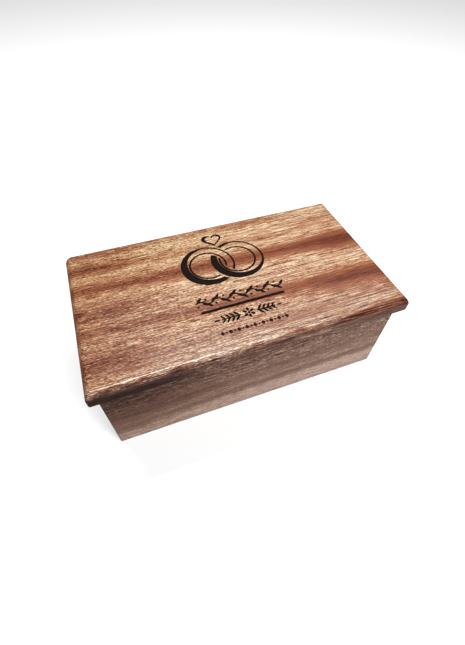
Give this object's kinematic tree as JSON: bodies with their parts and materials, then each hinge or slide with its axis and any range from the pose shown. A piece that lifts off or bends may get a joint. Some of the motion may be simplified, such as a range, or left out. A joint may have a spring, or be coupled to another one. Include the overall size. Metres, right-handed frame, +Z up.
{
  "type": "wedding card box",
  "caption": "Rectangular hardwood keepsake box with a hinged, overhanging, engraved lid, mitred walls and a felt-lined inside that takes greeting cards laid flat.",
  "frame": {"origin": "centre of the footprint of the closed box, on the surface that it stands on", "axes": "+X along the length, +Y towards the hinges at the rear, +Z up"},
  "size_m": [0.305, 0.173, 0.1093],
  "materials": {
    "lid_wood": "satin lacquered",
    "wall_wood": "satin lacquered",
    "spline_wood": "sanded",
    "panel_wood": "satin lacquered",
    "felt": "wool felt",
    "hinge_brass": "polished",
    "screw_brass": "polished"
  },
  "bodies": {
    "case": {"front_wall": "wall_wood", "rear_wall": "wall_wood", "left_wall": "wall_wood", "right_wall": "wall_wood", "front_left_spline": "spline_wood", "front_right_spline": "spline_wood", "rear_left_spline": "spline_wood", "rear_right_spline": "spline_wood", "bottom_panel": "panel_wood", "felt_lining": "felt", "left_hinge_wall_leaf": "hinge_brass", "left_hinge_pin": "hinge_brass", "left_hinge_wall_screws": "screw_brass", "right_hinge_wall_leaf": "hinge_brass", "right_hinge_pin": "hinge_brass", "right_hinge_wall_screws": "screw_brass"},
    "lid": {"lid_board": "lid_wood", "left_hinge_lid_leaf": "hinge_brass", "left_hinge_lid_screws": "screw_brass", "right_hinge_lid_leaf": "hinge_brass", "right_hinge_lid_screws": "screw_brass"}
  },
  "joints": [
    {"name": "lid_hinge", "type": "hinge", "parent": "case", "child": "lid", "pos_m": [0, 0.0835, 0.09513], "axis": [-1, 0, 0], "range_deg": [0, 95]}
  ]
}
